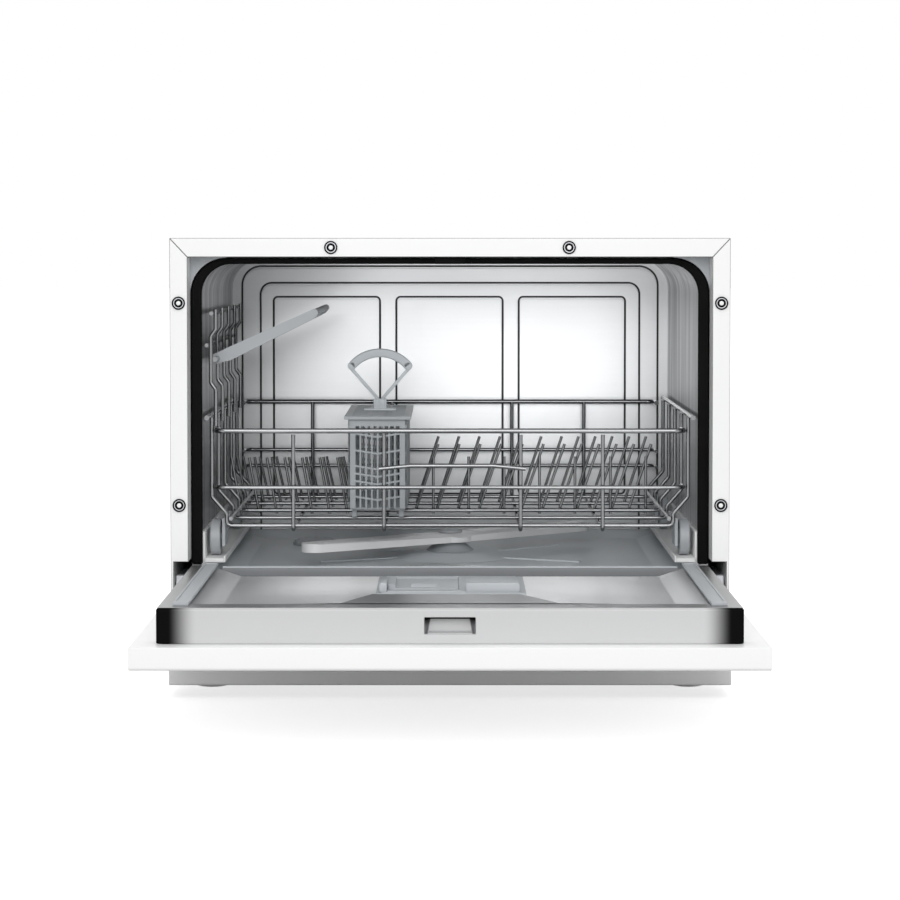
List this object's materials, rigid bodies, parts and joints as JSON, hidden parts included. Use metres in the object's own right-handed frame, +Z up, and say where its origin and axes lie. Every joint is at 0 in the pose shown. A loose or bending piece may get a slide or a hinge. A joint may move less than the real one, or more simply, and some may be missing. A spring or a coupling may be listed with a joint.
{
  "type": "countertop dishwasher",
  "caption": "Compact worktop dishwasher with its drop-down door open: steel tub, wire rack on rollers, cutlery basket, folding cup shelf, spray arm and detergent dispenser.",
  "frame": {"origin": "centre of the whole object's footprint with the door open, on the worktop", "axes": "+X to the right seen from the front, +Y from the open door to the back of the case, +Z up"},
  "size_m": [0.551, 0.828, 0.45],
  "materials": {
    "white_paint": "satin",
    "white_plastic": "satin",
    "stainless": "satin",
    "wire_steel": "polished",
    "zinc_steel": "satin",
    "pale_plastic": "matte",
    "grey_plastic": "matte",
    "light_plastic": "satin",
    "dark_plastic": "matte",
    "black_gloss": "gloss",
    "black_rubber": "matte",
    "board_green": "satin",
    "cast_weight": "matte"
  },
  "bodies": {
    "case": {"base_pan": "white_plastic", "frame_top": "white_paint", "frame_left": "white_paint", "frame_right": "white_paint", "frame_gussets": "light_plastic", "frame_bumpers": "black_rubber", "top_cover": "white_paint", "side_panel_left": "white_paint", "side_panel_right": "white_paint", "rear_panel": "zinc_steel", "fascia": "white_plastic", "display_window": "black_gloss", "control_board": "board_green", "feet": "dark_plastic", "counterweight": "cast_weight", "tub": "stainless", "tub_floor": "pale_plastic", "door_gasket": "black_rubber", "sill_seal": "black_rubber", "tub_rails": "white_plastic", "hinge_brackets": "zinc_steel", "latch_housing": "dark_plastic", "spray_hub": "grey_plastic", "fine_filter": "stainless", "softener_tank": "light_plastic", "wash_pump": "dark_plastic", "flow_heater": "zinc_steel", "drain_pump": "dark_plastic", "water_valve": "white_plastic", "drain_spigot": "grey_plastic", "cable_gland": "dark_plastic"},
    "door": {"door_outer": "white_paint", "door_inner": "stainless", "door_end_band": "light_plastic", "door_tracks": "grey_plastic", "hinge_arms": "zinc_steel", "dispenser_housing": "grey_plastic"},
    "rack": {"rack_floor": "wire_steel", "rack_rim": "wire_steel", "rack_fence": "wire_steel", "tines_left": "wire_steel", "tines_right": "wire_steel", "roller_brackets": "grey_plastic"},
    "power_button": {"power_button": "light_plastic"},
    "programme_button": {"programme_button": "light_plastic"},
    "delay_button": {"delay_button": "light_plastic"},
    "start_button": {"start_button": "light_plastic"},
    "latch_hook": {"latch_hook": "dark_plastic"},
    "spray_arm": {"spray_arm": "light_plastic"},
    "filter_cup": {"filter_cup": "grey_plastic"},
    "salt_cap": {"salt_cap": "grey_plastic"},
    "detergent_lid": {"detergent_lid": "light_plastic"},
    "rinse_aid_cap": {"rinse_aid_cap": "dark_plastic"},
    "roller_front_left": {"roller_front_left": "grey_plastic"},
    "roller_front_right": {"roller_front_right": "grey_plastic"},
    "roller_rear_left": {"roller_rear_left": "grey_plastic"},
    "roller_rear_right": {"roller_rear_right": "grey_plastic"},
    "cup_shelf": {"cup_shelf": "grey_plastic"},
    "cutlery_basket": {"cutlery_basket": "pale_plastic"}
  },
  "joints": [
    {"name": "door_hinge", "type": "hinge", "parent": "case", "child": "door", "pos_m": [0, -0.064, 0.1], "axis": [1, 0, 0], "range_deg": [-90, 0]},
    {"name": "rack_slide", "type": "slide", "parent": "case", "child": "rack", "axis": [0, -1, 0], "range_m": [0, 0.29]},
    {"name": "cup_shelf_fold", "type": "hinge", "parent": "rack", "child": "cup_shelf", "pos_m": [-0.2351, 0.136, 0.32902], "axis": [0, -1, 0], "range_deg": [0, 30]},
    {"name": "cutlery_basket_lift", "type": "slide", "parent": "rack", "child": "cutlery_basket", "axis": [0, 0, 1], "range_m": [0, 0.08]},
    {"name": "spray_arm_spin", "type": "hinge", "parent": "case", "child": "spray_arm", "pos_m": [0, 0.158, 0.128], "axis": [0, 0, 1], "continuous": true},
    {"name": "filter_turn", "type": "hinge", "parent": "case", "child": "filter_cup", "pos_m": [-0.013, 0.012, 0.1], "axis": [0, 0, 1], "range_deg": [0, 90]},
    {"name": "salt_cap_turn", "type": "hinge", "parent": "case", "child": "salt_cap", "pos_m": [-0.15, 0.266, 0.11], "axis": [0, 0, 1], "range_deg": [0, 300]},
    {"name": "latch_hook_rock", "type": "hinge", "parent": "case", "child": "latch_hook", "pos_m": [0, -0.0515, 0.4404], "axis": [1, 0, 0], "range_deg": [0, 8]},
    {"name": "power_button_press", "type": "slide", "parent": "case", "child": "power_button", "axis": [0, 1, 0], "range_m": [0, 0.0015], "stiffness_N_per_m": 900, "springref_m": -0.0005},
    {"name": "programme_button_press", "type": "slide", "parent": "case", "child": "programme_button", "axis": [0, 1, 0], "range_m": [0, 0.0015], "stiffness_N_per_m": 900, "springref_m": -0.0005},
    {"name": "delay_button_press", "type": "slide", "parent": "case", "child": "delay_button", "axis": [0, 1, 0], "range_m": [0, 0.0015], "stiffness_N_per_m": 900, "springref_m": -0.0005},
    {"name": "start_button_press", "type": "slide", "parent": "case", "child": "start_button", "axis": [0, 1, 0], "range_m": [0, 0.0015], "stiffness_N_per_m": 900, "springref_m": -0.0005},
    {"name": "detergent_lid_slide", "type": "slide", "parent": "door", "child": "detergent_lid", "axis": [0, 1, 0], "range_m": [0, 0.042]},
    {"name": "rinse_aid_cap_turn", "type": "hinge", "parent": "door", "child": "rinse_aid_cap", "pos_m": [0.04, -0.154, 0.115], "axis": [0, 0, 1], "range_deg": [0, 90]},
    {"name": "roller_front_left_spin", "type": "hinge", "parent": "rack", "child": "roller_front_left", "pos_m": [-0.236, 0.002, 0.149], "axis": [1, 0, 0], "continuous": true},
    {"name": "roller_front_right_spin", "type": "hinge", "parent": "rack", "child": "roller_front_right", "pos_m": [0.236, 0.002, 0.149], "axis": [1, 0, 0], "continuous": true},
    {"name": "roller_rear_left_spin", "type": "hinge", "parent": "rack", "child": "roller_rear_left", "pos_m": [-0.236, 0.256, 0.149], "axis": [1, 0, 0], "continuous": true},
    {"name": "roller_rear_right_spin", "type": "hinge", "parent": "rack", "child": "roller_rear_right", "pos_m": [0.236, 0.256, 0.149], "axis": [1, 0, 0], "continuous": true}
  ],
  "couplings": [
    {"joint": "roller_front_left_spin", "follows": "rack_slide", "rad_per_m": 55.556},
    {"joint": "roller_front_right_spin", "follows": "rack_slide", "rad_per_m": 55.556},
    {"joint": "roller_rear_left_spin", "follows": "rack_slide", "rad_per_m": 55.556},
    {"joint": "roller_rear_right_spin", "follows": "rack_slide", "rad_per_m": 55.556}
  ]
}
